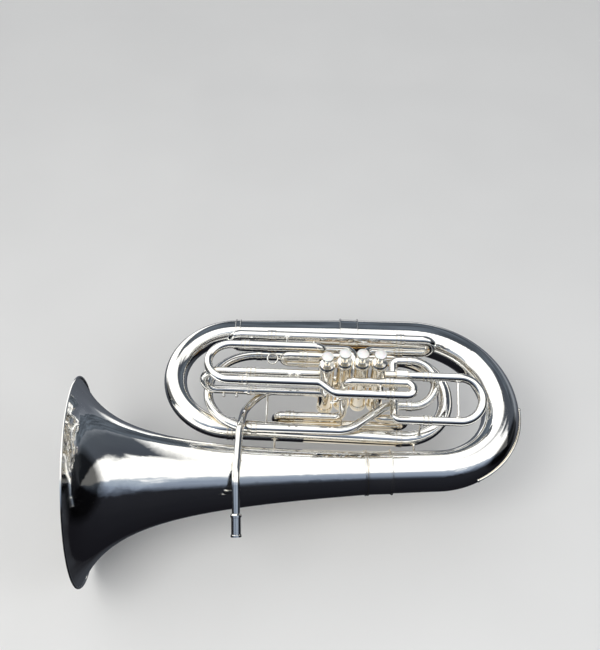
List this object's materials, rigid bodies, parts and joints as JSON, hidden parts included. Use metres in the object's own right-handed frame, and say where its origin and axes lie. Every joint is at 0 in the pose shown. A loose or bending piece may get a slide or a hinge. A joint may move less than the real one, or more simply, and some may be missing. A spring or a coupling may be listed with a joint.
{
  "type": "tuba",
  "caption": "Silver-plated piston tuba with a wide flared bell, nested branches, front pistons, pull slides, a leadpipe over the bell and a mouthpiece receiver.",
  "frame": {"origin": "centre of the bell mouth, in the plane of the rim", "axes": "+X from the mouth along the slides to the bottom bow, +Y from the bell to the outer branch, +Z the way the finger buttons point"},
  "size_m": [0.9567, 0.6627, 0.4372],
  "materials": {
    "bell": "polished",
    "branches": "polished",
    "collars": "polished",
    "valve_tubing": "polished",
    "slides": "polished",
    "receiver": "polished",
    "casings": "polished",
    "buttons": "polished",
    "water_key": "polished",
    "pistons": "satin nickel plate",
    "pearls": "pearl",
    "springs": "spring steel",
    "cork": "natural cork"
  },
  "bodies": {
    "horn": {"bell": "bell", "bell_rim_wire": "bell", "bottom_bow": "branches", "outer_branch": "branches", "top_bow": "branches", "second_branch": "branches", "inner_right_bow": "branches", "third_branch": "branches", "inner_left_bow": "branches", "crossover_branch": "branches", "return_bow": "branches", "bow_ferrules": "collars", "tube_ferrules": "collars", "body_braces": "collars", "bow_guard": "collars", "valve_knuckles": "collars", "tuning_slide_sleeves": "valve_tubing", "first_valve_sleeves": "valve_tubing", "second_valve_sleeves": "valve_tubing", "third_valve_sleeves": "valve_tubing", "fourth_valve_sleeves": "valve_tubing", "leadpipe": "valve_tubing", "mouthpiece_receiver": "receiver", "valve_casing_one": "casings", "valve_casing_two": "casings", "valve_casing_three": "casings", "valve_casing_four": "casings", "top_caps": "casings", "bottom_caps": "casings", "water_key_saddle": "water_key", "valve_spring_one": "springs", "valve_spring_two": "springs", "valve_spring_three": "springs", "valve_spring_four": "springs", "water_key_pin": "springs"},
    "valve_one": {"piston_one": "pistons", "finger_button_one": "buttons", "button_pearl_one": "pearls"},
    "valve_two": {"piston_two": "pistons", "finger_button_two": "buttons", "button_pearl_two": "pearls"},
    "valve_three": {"piston_three": "pistons", "finger_button_three": "buttons", "button_pearl_three": "pearls"},
    "valve_four": {"piston_four": "pistons", "finger_button_four": "buttons", "button_pearl_four": "pearls"},
    "tuning_slide_body": {"tuning_slide": "slides", "tuning_slide_brace": "collars"},
    "first_slide_body": {"first_valve_slide": "slides", "first_slide_knobs": "slides"},
    "second_slide_body": {"second_valve_slide": "slides", "second_slide_ring": "slides"},
    "third_slide_body": {"third_valve_slide": "slides"},
    "third_rear_slide_body": {"third_valve_rear_slide": "slides"},
    "fourth_slide_body": {"fourth_valve_slide": "slides"},
    "fourth_short_slide_body": {"fourth_valve_short_slide": "slides"},
    "fourth_low_slide_body": {"fourth_valve_low_slide": "slides"},
    "water_key_body": {"water_key_lever": "water_key", "water_key_cork": "cork"}
  },
  "joints": [
    {"name": "press_valve_one", "type": "slide", "parent": "horn", "child": "valve_one", "axis": [0, 0, -1], "range_m": [0, 0.016], "stiffness_N_per_m": 120, "springref_m": -0.03, "deforming": ["valve_spring_one"]},
    {"name": "press_valve_two", "type": "slide", "parent": "horn", "child": "valve_two", "axis": [0, 0, -1], "range_m": [0, 0.016], "stiffness_N_per_m": 120, "springref_m": -0.03, "deforming": ["valve_spring_two"]},
    {"name": "press_valve_three", "type": "slide", "parent": "horn", "child": "valve_three", "axis": [0, 0, -1], "range_m": [0, 0.016], "stiffness_N_per_m": 120, "springref_m": -0.03, "deforming": ["valve_spring_three"]},
    {"name": "press_valve_four", "type": "slide", "parent": "horn", "child": "valve_four", "axis": [0, 0, -1], "range_m": [0, 0.016], "stiffness_N_per_m": 120, "springref_m": -0.03, "deforming": ["valve_spring_four"]},
    {"name": "pull_tuning_slide", "type": "slide", "parent": "horn", "child": "tuning_slide_body", "axis": [1, 0, 0], "range_m": [0, 0.045]},
    {"name": "pull_first_slide", "type": "slide", "parent": "horn", "child": "first_slide_body", "axis": [-1, 0, 0], "range_m": [0, 0.06]},
    {"name": "pull_second_slide", "type": "slide", "parent": "horn", "child": "second_slide_body", "axis": [-1, 0, 0], "range_m": [0, 0.028]},
    {"name": "pull_third_slide", "type": "slide", "parent": "horn", "child": "third_slide_body", "axis": [-1, 0, 0], "range_m": [0, 0.05]},
    {"name": "pull_third_rear_slide", "type": "slide", "parent": "horn", "child": "third_rear_slide_body", "axis": [1, 0, 0], "range_m": [0, 0.035]},
    {"name": "pull_fourth_slide", "type": "slide", "parent": "horn", "child": "fourth_slide_body", "axis": [-1, 0, 0], "range_m": [0, 0.06]},
    {"name": "pull_fourth_short_slide", "type": "slide", "parent": "horn", "child": "fourth_short_slide_body", "axis": [1, 0, 0], "range_m": [0, 0.045]},
    {"name": "pull_fourth_low_slide", "type": "slide", "parent": "horn", "child": "fourth_low_slide_body", "axis": [-1, 0, 0], "range_m": [0, 0.035]},
    {"name": "open_water_key", "type": "hinge", "parent": "horn", "child": "water_key_body", "pos_m": [0.53374, 0.17362, 0.0755], "axis": [0.5, 0, -0.866], "range_deg": [0, 20]}
  ]
}
